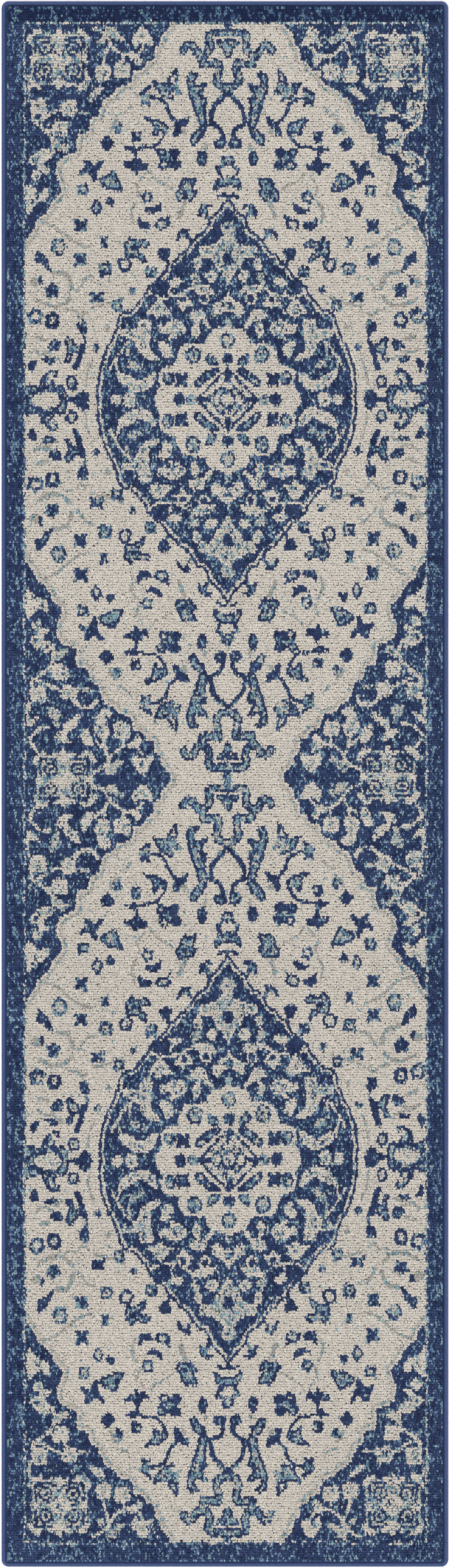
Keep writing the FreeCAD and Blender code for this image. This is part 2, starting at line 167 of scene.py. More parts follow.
class Cloth:
    """The tufts' places in one quarter of the pattern, u from the middle line and v from the repeat's middle.

    Each drawing method gives the tufts that it covers a new recipe from MIX, over what was drawn before.
    """

    def __init__(self, u, v):
        """Start as plain field, with every place free to be drawn on."""
        self.u, self.v = u, v
        self.mix = np.tile(np.array(MIX["field"]), (len(u), 1))
        self.free = np.ones(len(u), bool)

    def near(self, pts, pad):
        """Numbers of the free places inside the points' box, grown by pad on each side."""
        lo, hi = pts.min(axis=0) - pad, pts.max(axis=0) + pad
        u_in = (self.u > lo[0]) & (self.u < hi[0])
        return np.nonzero(self.free & u_in & (self.v > lo[1]) & (self.v < hi[1]))[0]

    def lay(self, index, keep, recipe):
        """Give a recipe to those of the numbered places that keep is true for."""
        self.mix[index[keep]] = MIX[recipe]

    def shape(self, points, fill, line=None, wide=2.5, fold="", soft=True, heart=None, heart_in=5.0):
        """A closed outline: fill inside, a line of some width along it, and a heart deeper than heart_in.

        fold mirrors the points over u = 0, v = 0 or both, and soft rounds the outline into a curve.
        """
        p = list(points)
        if "u" in fold:
            p = p + [(-a, b) for a, b in reversed(p)]
        if "v" in fold:
            p = p + [(a, -b) for a, b in reversed(p)]
        ring = curve(p, True) if soft else np.array(p, float)
        i = self.near(ring, SHAPE_PAD)
        depth = depth_in(self.u[i], self.v[i], ring)
        if fill:
            self.lay(i, depth > 0, fill)
        if heart:
            self.lay(i, depth > heart_in, heart)
        if line:
            self.lay(i, np.abs(depth - wide * .5) < wide * .5, line)

    def pale(self, points, heart_in):
        """An ivory petal or leaf with a softer heart, deeper than heart_in."""
        self.shape(points, "cream", heart="pearl", heart_in=heart_in)

    def band(self, points, wide, recipe, end=None):
        """A stem along a curve: all within half its width, which runs from wide to end where end is given."""
        path = curve(points, False)
        i = self.near(path, wide)
        far, place = reach(self.u[i], self.v[i], path, False)
        half = .5 * (wide if end is None else wide + (end - wide) * place)
        self.lay(i, far < half, recipe)

    def petals(self, at, r, n, fill, cut=.25, tall=1.0, turn=0.0, line=None, wide=2.0, heart=None, heart_r=.4,
               eye=None, eye_r=.15):
        """A flower of n petals: radius under r (1 - cut (1/2 - 1/2 cos(n angle))), stretched along v by tall.

        heart and eye are discs of heart_r and eye_r times r.
        """
        i = self.near(np.array([at, at], float), r * max(1, tall) + SHAPE_PAD)
        a, b = self.u[i] - at[0], (self.v[i] - at[1]) / tall
        rad, ang = np.hypot(a, b), np.arctan2(b, a) - np.radians(turn)
        edge = r * (1 - cut * (.5 - .5 * np.cos(n * ang)))
        self.lay(i, rad < edge, fill)
        if line:
            self.lay(i, (rad < edge) & (rad > edge - wide), line)
        if heart:
            self.lay(i, rad < r * heart_r, heart)
        if eye:
            self.lay(i, rad < r * eye_r, eye)

    def oval(self, at, ru, rv, fill, turn=0.0, line=None, wide=2.0, heart=None, heart_in=5.0):
        """A turned ellipse: depth = (1 - sqrt((a / ru)^2 + (b / rv)^2)) x the smaller of ru and rv."""
        i = self.near(np.array([at, at], float), max(ru, rv) + SHAPE_PAD)
        c, s = np.cos(np.radians(turn)), np.sin(np.radians(turn))
        a, b = self.u[i] - at[0], self.v[i] - at[1]
        a, b = a * c + b * s, b * c - a * s
        depth = (1 - np.sqrt((a / ru) ** 2 + (b / rv) ** 2)) * min(ru, rv)
        if fill:
            self.lay(i, depth > 0, fill)
        if heart:
            self.lay(i, depth > heart_in, heart)
        if line:
            self.lay(i, (depth > 0) & (depth < wide), line)

    def region(self, edge, close, fill):
        """Fill the closed side of a long stepped edge. Gives its places and their depth behind the edge."""
        path = np.array(edge, float)
        ring = np.vstack([path, np.array(close, float)])
        i = self.near(ring, REGION_PAD)
        depth = depth_in(self.u[i], self.v[i], ring, path)
        self.lay(i, depth > 0, fill)
        return i, depth

    def trim(self, i, depth, low, high, recipe):
        """A strip along a region's edge, between two depths."""
        self.lay(i, (depth > low) & (depth < high), recipe)


MEDALLION = [(0, 298), (5, 290), (10, 283), (15, 277), (22, 270), (28, 266), (29, 258), (31, 252),
    (36, 246), (44, 244), (47, 238), (52, 233), (56, 226), (60, 220), (65, 216), (71, 214), (75, 207),
    (80, 202), (87, 199), (90, 192), (95, 184), (100, 180), (107, 175), (112, 168), (117, 165), (119, 157),
    (122, 152), (130, 143), (135, 137), (142, 131), (150, 131), (154, 127), (158, 122), (161, 113),
    (162, 104), (166, 97), (169, 88), (174, 80), (177, 75), (180, 65), (184, 55), (187, 45), (188, 33),
    (190, 20), (190, 8), (189, 0)]
PANEL = [(0, 108), (7, 106), (14, 104), (22, 102), (28, 97), (32, 90), (33, 84), (40, 82), (60, 82),
    (67, 77), (71, 70), (74, 60), (76, 52), (85, 50), (94, 47), (99, 40), (100, 30), (97, 22), (101, 14),
    (106, 7), (108, 0)]
SPANDREL = [(83, 580), (84, 548), (91, 540), (97, 533), (99, 521), (106, 515), (107, 498), (117, 497),
    (120, 488), (126, 483), (136, 483), (138, 473), (141, 463), (150, 460), (160, 457), (166, 447),
    (176, 443), (182, 435), (186, 425), (188, 416), (196, 413), (201, 407), (202, 395), (207, 391),
    (218, 390), (220, 380), (220, 362), (235, 358), (243, 352), (248, 343), (249, 328), (243, 316),
    (241, 305), (246, 298), (255, 290), (257, 281), (266, 270), (277, 262), (280, 251), (287, 242),
    (293, 235), (299, 222)]


def field_vines(c):
    """Pale aqua stems and leaves that barely show on the ivory field: the width of each, then its path."""
    for wide, *path in (
        (4, (200, 222), (215, 226), (228, 235), (240, 245), (253, 254), (266, 259)),
        (7, (250, 187), (236, 184), (229, 175), (226, 164)),
        (4, (195, 180), (205, 178), (212, 169), (218, 160)),
        (6, (262, 88), (275, 92)),
        (5, (256, 70), (270, 68), (280, 74)),
        (4, (243, 58), (252, 62), (268, 60)),
        (3, (80, 309), (92, 316), (104, 322), (113, 335)),
        (3, (120, 331), (128, 320)),
        (4, (129, 300), (133, 316)),
        (4, (133, 290), (140, 276), (137, 259)),
        (7, (70, 268), (66, 278), (62, 288)),
        (4, (152, 150), (170, 142), (196, 136)),
        (6, (228, 150), (240, 140), (255, 138), (276, 146)),
        (4, (205, 128), (214, 122), (220, 130), (236, 132)),
        (5, (160, 408), (168, 402), (170, 392)),
        (3, (196, 60), (203, 40), (206, 20)),
        (3, (140, 430), (150, 420), (162, 416)),
    ):
        c.band(path, wide, "mist")


def field_flowers(c):
    """The loose flowers, leaves and stems on the ivory field of one quarter of the pattern."""
    for at in ((213, 255), (214, 205)):
        for turn in (45, -45):
            c.oval(at, 13, 5.2, "bloom", turn)
        c.oval(at, 6, 6, "ink")
    for turn in (60, -60):
        c.oval((179, 231), 10, 3.6, "bloom", turn)
    c.petals((178, 191), 12, 4, "bloom", .22, turn=45, heart="pearl", heart_r=.45, eye="ink", eye_r=.18)
    c.shape([(111, 227), (116, 233), (122, 236), (130, 233), (137, 235), (141, 240), (146, 233), (150, 231),
        (150, 215), (145, 208), (138, 209), (132, 207), (126, 203), (119, 199), (119, 206), (122, 214),
        (128, 216), (127, 222), (119, 223)], "teal", "ink", 3.4)
    c.oval((137, 222), 5, 4, "ink")
    c.oval((149, 198), 10.5, 11.5, "cream", line="ink", wide=4.2)
    c.shape([(110, 258), (118, 260), (124, 262), (129, 268), (132, 262), (130, 254), (125, 249),
        (115, 250)], "ink")
    c.oval((95, 257), 11.5, 8.5, "pearl", -10, "ink", 3.6)
    c.band([(90, 262), (85, 269)], 4, "ink")
    c.shape([(96, 288), (97, 280), (102, 274), (109, 272), (116, 275), (121, 281), (110, 281), (102, 286)],
        "ink")
    c.petals((117, 297), 10, 5, "bloom", .2, heart="cream", heart_r=.42)
    c.petals((171, 289), 7.5, 3, "ink", .3, turn=90)
    c.petals((190, 281), 8, 4, "pearl", .2, 1.5, line="ink", wide=3.2)
    c.petals((138, 160), 6.5, 5, "dusk", .4)
    for turn in (35, -35):
        c.oval((190, 150), 13, 4.6, "bloom", turn)
    c.petals((210, 307), 10.5, 4, "bloom", .25, turn=45, heart="pearl", heart_r=.4)
    # the three-lobed flower and its dark neighbours towards the middle of the field
    c.shape([(46, 300), (45, 306), (50, 309), (46, 316), (45, 325), (55, 324), (62, 326), (69, 318),
        (71, 309), (77, 301), (72, 291), (62, 293), (55, 290)], "teal", "ink", 3.6)
    c.oval((63, 303), 4.5, 4, "ink")
    c.petals((37, 354), 8.5, 2, "ink", .12, 1.4, turn=90, heart="dusk", heart_r=.45)
    c.petals((86, 353), 19, 4, "bloom", .34, turn=45, heart="teal", heart_r=.42)
    for at, eye in (((77, 363), None), ((96, 362), "teal"), ((75, 345), None), ((92, 344), "cream")):
        c.oval(at, 8, 7.5, "ink", heart=eye, heart_in=4)
    c.band([(133, 366), (132, 355)], 4, "ink")
    c.shape([(115, 348), (122, 345), (127, 352), (134, 355), (139, 348), (150, 349), (149, 341), (139, 337),
        (133, 329), (128, 336), (120, 335), (116, 341)], "ink")
    c.oval((141, 342), 3, 2.5, "dusk")
    c.band([(91, 390), (97, 379), (104, 372), (117, 371), (129, 368), (148, 368)], 4.5, "ink")
    c.petals((138, 367), 7, 3, "ink", .3)
    c.petals((133, 386), 9, 4, "ink", .2, 1.1, turn=45)
    c.oval((130, 388), 3, 3, "pearl")
    c.shape([(122, 413), (110, 413), (98, 409), (88, 402), (87, 394), (92, 389), (99, 392), (104, 385),
        (109, 388), (110, 401)], "teal", "ink", 3.8)
    c.band([(72, 404), (82, 414), (87, 424), (90, 433), (100, 441), (112, 443)], 5.2, "ink")
    c.shape([(56, 414), (58, 405), (61, 400), (68, 397), (70, 388), (79, 387), (78, 398), (74, 406),
        (67, 411)], "ink")
    c.oval((64, 393), 4.5, 5, "mist")
    c.band([(112, 456), (120, 451), (126, 447), (117, 440), (124, 433)], 6, "bloom")
    c.petals((119, 443), 9, 3, "teal", .3)
    c.band([(112, 457), (122, 451)], 4.5, "ink")
    c.band([(114, 432), (123, 438)], 5, "ink")
    c.shape([(72, 481), (74, 466), (80, 462), (92, 463), (107, 466), (104, 458), (98, 452), (98, 446),
        (88, 440), (79, 440), (80, 450), (70, 446), (67, 452), (72, 460)], "teal")
    c.shape([(73, 485), (80, 480), (88, 470), (84, 463), (74, 466)], "cream", "ink", 4)
    c.band([(80, 466), (90, 462), (100, 463), (107, 465), (101, 455), (98, 448), (88, 442), (80, 440)], 4,
        "ink")
    c.petals((160, 397), 8.5, 3, "teal", .3)
    c.oval((159, 394), 4.5, 6.5, "bloom", 20)
    c.petals((175, 375), 10.5, 4, "ink", .18)
    c.shape([(151, 306), (156, 319), (163, 333), (171, 333), (176, 329), (186, 324), (186, 316), (176, 310),
        (164, 306)], "teal", "ink", 4)
    c.shape([(179, 349), (186, 350), (193, 343), (200, 349), (209, 349), (206, 341), (214, 334), (214, 326),
        (206, 330), (200, 328), (194, 317), (189, 321), (190, 331), (186, 338)], "ink")
    c.oval((206, 341), 3.5, 3, "teal")
    # towards the long edges
    c.shape([(253, 187), (262, 191), (270, 199), (277, 201), (278, 210), (276, 219), (272, 217), (267, 213),
        (261, 206), (258, 198)], "ink")
    c.oval((265, 203), 3, 7, "bloom", -35)
    c.petals((245, 223), 12, 6, "pearl", .12, 1.15, line="dusk", wide=4.2)
    c.petals((273, 175), 6.5, 3, "ink", .2)
    c.petals((280, 172), 8, 3, "mist", .2)
    c.petals((255, 160), 12, 5, "bloom", .3, turn=20, heart="ink", heart_r=.55)
    c.petals((254, 116), 11.5, 4, "ink", .12, 1.15, turn=45, heart="cream", heart_r=.42)
    c.petals((279, 122), 13, 5, "dusk", .2, turn=18, heart="cream", heart_r=.42)
    c.oval((273, 129), 3, 3, "ink")
    c.shape([(203, 101), (205, 112), (212, 112), (217, 115), (218, 105), (215, 98), (207, 96)], "ink")
    c.oval((208, 113), 5, 4, "dusk")
    c.band([(209, 97), (206, 88), (208, 80)], 4, "bloom")
    c.band([(210, 80), (214, 68), (217, 56), (221, 46)], 10, "ink", 8)
    c.shape([(208, 81), (217, 80), (224, 86), (231, 92), (237, 88), (235, 80), (233, 72), (234, 64),
        (239, 57), (230, 54), (226, 61), (224, 68), (216, 70)], "teal", "ink", 3.6)
    c.shape([(241, 87), (250, 88), (260, 81), (258, 75), (250, 72), (243, 76)], "bloom", "ink", 2.5)
    c.oval((259, 58), 9.5, 4.6, "ink", 12, heart="dusk", heart_in=2.6)
    c.shape([(276, 57), (283, 59), (290, 52), (287, 44), (283, 39), (280, 47)], "ink")
    c.oval((226, 25), 8.5, 10.5, "pearl", line="ink", wide=3.6)
    c.petals((210, 4), 11, 4, "bloom", .3, turn=45)
    c.shape([(199, 0), (204, 9), (210, 16), (216, 8), (224, 4), (234, 2), (234, -4), (199, -4)], "ink")
    c.petals((175, 106), 5, 4, "mist", .2)
    c.petals((191, 76), 6.5, 4, "dusk", .2)
    # the small pot of flowers on the middle line
    c.shape([(0, 328), (8, 327), (15, 325), (20, 317), (21, 307), (16, 306), (10, 312), (0, 313)], "teal",
        "ink", 3.4, fold="u")
    c.band([(0, 299), (8, 300), (14, 297)], 5, "ink")
    c.band([(10, 328), (16, 340), (12, 330)], 4.5, "ink")
    c.band([(0, 357), (7, 353), (7, 344), (14, 339)], 4.5, "bloom")
    c.petals((0, 350), 9, 4, "bloom", .3, heart="pearl", heart_r=.5)


def cartouche(c):
    """The scrolled ornament standing on each long edge, beside the medallion."""
    c.shape([(300, 22), (280, 21), (273, 21), (271, 31), (264, 39), (256, 44), (247, 43), (246, 36),
        (251, 32), (253, 25), (249, 20), (243, 22), (236, 18), (233, 8), (233, 0)], "teal", "ink", 3.6,
        fold="v")
    c.oval((255, 34), 4, 5, "cream")
    c.oval((260, 27), 2.6, 4, "cream")
    c.band([(247, 42), (256, 43), (263, 37), (266, 28), (263, 19), (252, 15), (246, 11), (242, 4)], 3.6,
        "ink")
    c.band([(266, 18), (276, 12), (287, 9), (292, 4)], 5, "ink")
    c.shape([(242, 0), (246, 8), (254, 12), (263, 12.5), (272, 11), (281, 7), (286, 0)], "cream", fold="v")
    c.shape([(242, 0), (246, 8), (254, 12), (263, 12.5), (272, 11), (281, 7), (286, 0)], None, "ink", 1.0,
        fold="v")


def palmette(c):
    """The tall hooked palmette between the medallion and the short edge: outlined tubes filled with aqua."""
    def tube(path, wide):
        """An aqua tube with dark edges: a band of ink under a narrower band of aqua."""
        c.band(path, wide, "ink")
        c.band(path, wide - 2 * TUBE_WALL, "teal")
    tube([(-6, 538), (10, 538), (24, 537), (28, 529), (26, 518), (31, 508), (40, 505), (46, 510), (52, 519),
        (60, 519), (64, 512)], 12.5)
    tube([(36, 506), (35, 492), (22, 493), (13, 492), (14, 478), (16, 467), (9, 459), (-5, 456)], 12.5)
    c.band([(41, 509), (38, 499), (36, 493)], 4.5, "teal")
    c.shape([(0, 531), (7, 527), (17, 527), (15, 519), (8, 515), (5, 504), (0, 500)], "teal", "ink", 2.8,
        fold="u")
    c.oval((0, 520), 6, 5, "bloom")
    # tall side leaf
    c.shape([(40, 478), (50, 481), (58, 476), (60, 466), (58, 452), (54, 440), (50, 426), (46, 416),
        (43, 404), (38, 398), (29, 400), (30, 412), (32, 424), (31, 434), (29, 443), (36, 446), (35, 452),
        (28, 464), (36, 464), (44, 460), (48, 466), (45, 472)], "teal", "ink", 4)
    c.band([(33, 441), (39, 440), (41, 447)], 3.5, "ink")
    c.shape([(30, 401), (38, 401), (47, 395), (54, 386), (55, 376), (50, 371), (44, 376), (38, 384),
        (33, 391)], "teal", "ink", 4)
    c.oval((37, 387), 4, 4, "ink")
    # inner pointed arch and its curled feet
    c.band([(-6, 452), (4, 447), (12, 438), (20, 429), (24, 418), (25, 406)], 7, "ink")
    c.band([(8, 446), (14, 440)], 4, "teal")
    c.band([(25, 404), (16, 401), (9, 394), (7, 385), (11, 377)], 6.5, "ink")
    c.oval((11, 376), 9.5, 8.5, "ink", heart="dusk", heart_in=4.5)
    c.oval((0, 552), 8, 7, "bloom")
    c.oval((33, 371), 3, 6, "mist")


def medallion(c):
    """The large lobed medallion: trefoils on its outline, navy ground, ivory panel and central diamond."""
    c.band([(24, 284), (32, 285), (39, 280), (41, 269)], 5, "ink")
    c.band([(34, 283), (31, 272), (27, 264), (28, 256)], 7, "bloom", 4)
    c.oval((36, 276), 4, 4, "dusk")
    c.band([(56, 248), (62, 248), (69, 244), (72, 236)], 5.5, "ink")
    c.band([(60, 246), (57, 238), (53, 233)], 6, "bloom", 4)
    c.oval((64, 241), 3.5, 3.5, "pearl")
    c.petals((112, 187), 10.5, 4, "bloom", .2, turn=45, heart="dusk", heart_r=.5)
    c.oval((115, 188), 3, 3, "pearl")
    c.petals((160, 138), 10, 4, "bloom", .2, turn=45, heart="pearl", heart_r=.4)
    c.petals((92, 213), 10.5, 3, "ink", .22, turn=30)
    c.band([(90, 208), (86, 199)], 4.5, "ink")
    i, depth = c.region(MEDALLION, [(-9, 0), (-9, 298)], "night")
    c.trim(i, depth, 3.5, 7.1, "cream")
    c.trim(i, depth, -.4, 3.1, "ink")
    # towards the point
    c.petals((0, 251), 12, 6, "pearl", .15, heart="dusk", heart_r=.2)
    c.shape([(0, 241), (8, 240), (13, 233), (22, 228), (32, 225), (41, 224), (42, 215), (38, 207),
        (31, 209), (24, 206), (19, 197), (16, 191), (11, 187), (6, 177), (0, 168)], "pearl", "cream", 4,
        fold="u")
    c.oval((0, 206), 8, 9, "ink")
    c.oval((28, 201), 7, 7, "ink")
    c.oval((44, 200), 6, 9.5, "cream", 10, heart="pearl", heart_in=3)
    c.petals((24, 181), 9, 4, "cream", .12)
    c.petals((48, 179), 7.5, 4, "pearl", .12)
    c.band([(50, 173), (52, 166)], 4, "pearl")
    # vine, buds and leaves on the navy ground
    c.band([(46, 166), (56, 161), (66, 155), (78, 151), (92, 150), (104, 152), (114, 158)], 3.8, "cream")
    c.band([(80, 151), (84, 160), (80, 169)], 4, "cream")
    c.shape([(66, 173), (72, 179), (80, 178), (88, 174), (84, 168), (80, 165), (73, 168)], "cream")
    c.oval((97, 164), 13, 12, "ink")
    c.pale([(17, 152), (21, 162), (29, 168), (42, 169), (50, 166), (47, 158), (38, 155), (27, 156)], 5)
    c.oval((34, 148), 8.5, 9.5, "ink", line="cream", wide=3.4)
    c.shape([(51, 138), (57, 149), (64, 154), (71, 150), (78, 139), (71, 137), (66, 130), (59, 137)],
        "cream")
    c.oval((65, 146), 4.5, 4.5, "ink")
    c.pale([(80, 126), (87, 133), (92, 142), (100, 147), (107, 141), (113, 133), (119, 126), (108, 124),
        (101, 119), (92, 124)], 6)
    c.shape([(0, 160), (4, 151), (10, 146), (17, 142), (23, 136), (23, 123), (13, 122), (9, 128), (0, 130)],
        "cream", fold="u")
    c.oval((0, 139), 8, 4.5, "dusk")
    c.oval((0, 112), 5, 9, "pearl")
    c.band([(26, 107), (31, 112), (37, 119)], 7.5, "cream")
    c.pale([(32, 120), (34, 128), (42, 133), (50, 131), (57, 126), (54, 119), (44, 117)], 5)
    c.band([(43, 118), (45, 110)], 5, "cream")
    c.oval((47, 101), 6, 11, "cream", heart="pearl", heart_in=3)
    c.shape([(61, 105), (63, 98), (70, 93), (78, 90), (85, 86), (87, 90), (82, 95), (88, 98), (96, 97),
        (101, 102), (101, 111), (94, 109), (86, 114), (76, 116), (66, 113)], "cream")
    c.oval((74, 103), 7.5, 8, None, line="teal", wide=2.6)
    c.shape([(80, 67), (82, 78), (88, 84), (97, 87), (100, 80), (97, 72), (92, 61), (86, 63)], "cream")
    c.pale([(99, 59), (110, 58), (121, 63), (128, 70), (131, 79), (136, 86), (143, 90), (151, 92),
        (155, 97), (153, 104), (143, 104), (134, 104), (131, 105), (129, 115), (121, 119), (112, 118),
        (110, 112), (112, 100), (113, 88), (114, 78), (110, 70), (103, 65)], 6)
    c.oval((142, 97), 6, 4, "teal", 20)
    # the dark panel by the long side, with its crescent below
    c.band([(142, 85), (150, 78), (156, 69), (162, 60), (168, 51), (171, 43)], 3.8, "cream")
    c.band([(144, 80), (145, 66)], 4, "pearl")
    c.band([(163, 57), (159, 44)], 3.4, "cream")
    c.shape([(118, 43), (124, 52), (134, 60), (147, 62), (154, 57), (153, 46), (143, 44), (134, 42),
        (126, 41)], "dusk", heart="pearl", heart_in=4)
    c.oval((147, 54), 4, 4, "ink")
    c.pale([(104, 40), (105, 30), (110, 20), (118, 14), (128, 12), (138, 14), (148, 20), (156, 27),
        (160, 35), (160, 45), (154, 41), (148, 38), (140, 34), (132, 29), (125, 29), (118, 33), (111, 39)],
        6)
    c.oval((142, 3), 9, 8, "cream", heart="pearl", heart_in=5)
    c.oval((162, 2), 7.5, 6, "cream")
    c.oval((124, 3), 6, 5, "dusk")
    c.band([(70, 206), (64, 200), (58, 196)], 3, "dusk")
    # ivory panel
    i, depth = c.region(PANEL, [(-9, 0), (-9, 108)], "field")
    c.trim(i, depth, -.4, 1.8, "cream")
    c.oval((0, 87), 10.5, 11.5, "pearl", line="dusk", wide=3.6)
    c.oval((0, 60), 8.5, 9, "bloom", heart="ink", heart_in=4)
    c.shape([(13, 51), (15, 58), (21, 64), (28, 68), (32, 64), (31, 56), (27, 50), (20, 49)], "bloom",
        heart="teal", heart_in=4)
    c.shape([(12, 43), (17, 47), (26, 45), (34, 41), (42, 35), (49, 28), (49, 20), (42, 17), (36, 22),
        (28, 29), (19, 35)], "bloom", "ink", 3.4)
    c.oval((29, 37), 4.5, 3.4, "teal", -45)
    c.oval((41, 26), 3.6, 3.6, "pearl", -45)
    c.oval((50, 65), 11.5, 13, "pearl", line="bloom", wide=4)
    c.oval((50, 66), 4.5, 5, "teal")
    c.petals((67, 29), 12.5, 4, "ink", .42, 1.05, turn=45)
    c.oval((86, 31), 9, 10.5, "dusk", line="bloom", wide=3.2)
    c.oval((88, 34), 4, 4, "pearl")
    c.oval((71, 0), 8.5, 10, "ink")
    c.oval((53, 0), 8.5, 7.5, "teal")
    # central diamond
    c.shape([(0, 48), (47, 0)], "cream", "ink", 4, fold="uv", soft=False)
    c.shape([(0, 32), (30, 0)], "night", fold="uv", soft=False)
    c.oval((0, 20), 7.5, 5.5, "cream")
    c.oval((18, 2), 5.5, 5.5, "cream")
    c.oval((11, 12), 4.2, 4.2, "pearl")
    c.oval((0, 0), 9, 8.5, "cream")


def rosette_square(c, at):
    """The square rosette: a pale line square with ivory lobes on it, four rings inside and an ivory star."""
    a, b = at
    c.shape([(a - 41, b - 37), (a - 41, b + 38), (a + 40, b + 38), (a + 40, b - 37)], "dusk", "pearl", 3.2,
        soft=False)
    c.shape([(a - 37, b - 33), (a - 37, b + 34), (a + 36, b + 34), (a + 36, b - 33)], "night", soft=False)
    c.shape([(a - 32, b - 28), (a - 32, b + 29), (a + 32, b + 29), (a + 32, b - 28)], "pearl", soft=False)
    for s in (-1, 1):
        for t in (-1, 1):
            c.oval((a + s * 20, b + t * 16), 11, 10.5, "pearl", line="ink", wide=3.4)
            c.oval((a + s * 20, b + t * 16), 3.2, 3.2, "ink")
            c.band([(a + s * 42, b + t * 28), (a + s * 37, b + t * 37), (a + s * 29, b + t * 40)], 8.5,
                "cream")
            c.oval((a + s * 12, b + t * 36), 5, 3.4, "cream")
        c.oval((a + s * 37, b + 2), 5, 8, "cream")
        c.oval((a + s * 25, b), 4, 3, "teal")
        c.petals((a, b + s * 34), 11, 4, "cream", .35)
        c.oval((a, b + s * 19), 5, 4, "teal")
        c.oval((a + s * 9, b + 20), 2.5, 4, "dusk")
    c.petals((a - 1, b + 1), 15, 4, "cream", .2)


def spandrel(c):
    """Navy stepped corner of the field: the lily, vines and flowers that both ends of the repeat share."""
    i, depth = c.region(SPANDREL, [(340, 222), (340, 580)], "night")
    c.trim(i, depth, 0, 3, "ink")
    c.trim(i, depth, -8.5, -3.5, "haze")
    c.pale([(108, 519), (109, 528), (114, 537), (119, 545), (127, 546), (132, 539), (138, 531), (138, 521),
        (134, 514), (131, 519), (124, 522), (117, 520)], 7)
    c.band([(123, 517), (129, 508), (136, 503)], 4.4, "cream")
    c.shape([(125, 499), (127, 491), (131, 489), (137, 496), (143, 502), (147, 506), (140, 509),
        (132, 508)], "cream")
    c.band([(141, 503), (152, 506), (162, 512), (170, 521), (175, 530), (184, 538), (196, 543)], 4.8,
        "cream")
    c.band([(172, 521), (176, 511), (179, 500), (181, 491)], 4.4, "cream")
    c.shape([(149, 524), (152, 532), (159, 536), (164, 544), (176, 546), (177, 537), (172, 531), (165, 528),
        (158, 524)], "pearl")
    c.petals((153, 482), 14, 4, "cream", .16, turn=45, heart="pearl", heart_r=.4)
    c.band([(152, 494), (151, 503)], 4, "cream")
    # along the long edge
    c.petals((243, 396), 14, 4, "cream", .2, turn=45)
    c.petals((230, 426), 14, 4, "cream", .22, turn=30, heart="pearl", heart_r=.4)
    c.band([(218, 420), (208, 421), (200, 421)], 5, "pearl")
    c.petals((275, 428), 14.5, 4, "cream", .18, turn=45, heart="pearl", heart_r=.5)
    c.band([(238, 425), (252, 420), (262, 414), (272, 409), (280, 406)], 4.6, "cream")
    c.band([(284, 416), (282, 407), (272, 400), (262, 392), (256, 385), (253, 375), (253, 364), (257, 357),
        (264, 352)], 5.4, "cream")
    c.band([(262, 392), (252, 395)], 4, "cream")
    c.oval((285, 396), 7, 7, "dusk")
    c.shape([(227, 373), (234, 371), (243, 377), (252, 381), (254, 371), (246, 364), (236, 362),
        (231, 367)], "pearl")
    c.pale([(258, 367), (268, 367), (276, 363), (281, 358), (289, 350), (283, 343), (277, 341), (273, 334),
        (262, 332), (258, 336), (266, 342), (266, 350), (261, 356)], 5)
    c.oval((279, 350), 3.6, 3.6, "bloom")
    c.oval((277, 327), 7, 8, "cream", heart="pearl", heart_in=4)
    c.shape([(260, 309), (266, 308), (273, 303), (281, 310), (290, 317), (294, 300), (293, 286), (290, 271),
        (283, 280), (275, 287), (265, 290), (260, 298)], "cream")


def corner_flowers(c):
    """What grows only in the spandrels at the rug's four corners."""
    rosette_square(c, (245, 498))
    c.petals((181, 478), 13.5, 4, "cream", .16, turn=45, heart="pearl", heart_r=.4)
    c.shape([(177, 533), (183, 531), (191, 522), (187, 518), (180, 522)], "pearl")
    c.shape([(177, 457), (186, 459), (195, 452), (201, 445), (199, 438), (192, 443), (185, 449)], "cream")
    c.band([(200, 508), (196, 516), (202, 524)], 5, "dusk")
    c.band([(286, 466), (289, 452), (288, 438)], 4.5, "pearl")


def middle_flowers(c):
    """What grows only in the spandrels where two repeats meet, half way down the long edges."""
    rosette_square(c, (237, 554))
    c.pale([(171, 490), (180, 494), (190, 489), (194, 478), (190, 468), (188, 458), (182, 450), (174, 451),
        (167, 456), (170, 462), (176, 468), (172, 478)], 7)
    c.band([(178, 506), (186, 502), (192, 496)], 4.5, "cream")
    c.shape([(195, 501), (202, 506), (210, 498), (214, 488), (212, 478), (203, 479), (198, 488)], "cream")
    c.shape([(225, 500), (236, 500), (246, 495), (250, 488), (244, 482), (239, 482), (238, 474), (230, 467),
        (222, 461), (213, 457), (216, 468), (221, 477), (229, 481), (233, 488)], "cream")
    c.shape([(240, 456), (245, 467), (243, 477), (250, 477), (254, 466), (259, 458), (258, 447),
        (250, 448)], "pearl")
    c.band([(259, 477), (270, 478), (278, 484), (286, 491), (284, 501), (277, 511)], 5.4, "cream")
    c.shape([(272, 459), (281, 463), (287, 465), (291, 475), (284, 474), (276, 467)], "cream")
    c.band([(289, 474), (290, 458), (288, 440)], 4.8, "cream")
    c.band([(189, 437), (196, 446), (207, 449), (216, 445), (223, 436)], 6.5, "cream")


# How the loom let the pattern wander, in millimetres at stations down the rug: across, along, along at the
# right edge against the middle (skew) and at both edges against the middle (bow). NARROW is a share of u.
DRIFT_X = ((-1143, 1.6), (-500, -1.3), (-150, 1.4), (1143, .7))
DRIFT_Y = ((-1143, 6), (-20, -6.6), (20, -1.6), (575, -.6), (1143, 2.4))
SKEW = ((-1143, .5), (-500, -5), (450, -2.2), (900, 1.4))
BOW = ((-1143, 0), (-715, 2), (-286, 2), (0, .6), (1143, 0))
NARROW = ((-1143, .005), (500, 0))
EDGE_SHIFT = 2.4                    # the shift across grows by this from the middle to either long edge
RAGGED_X, RAGGED_Y = 2.0, 2.4       # how ragged the edges of the colours are, in clumps of tufts
STRAY_X, STRAY_Y = .4, .5           # and tuft by tuft


def drift(y, stations):
    """The stations' values joined by straight lines along the rug."""
    at, value = zip(*stations)
    return np.interp(y, at, value)


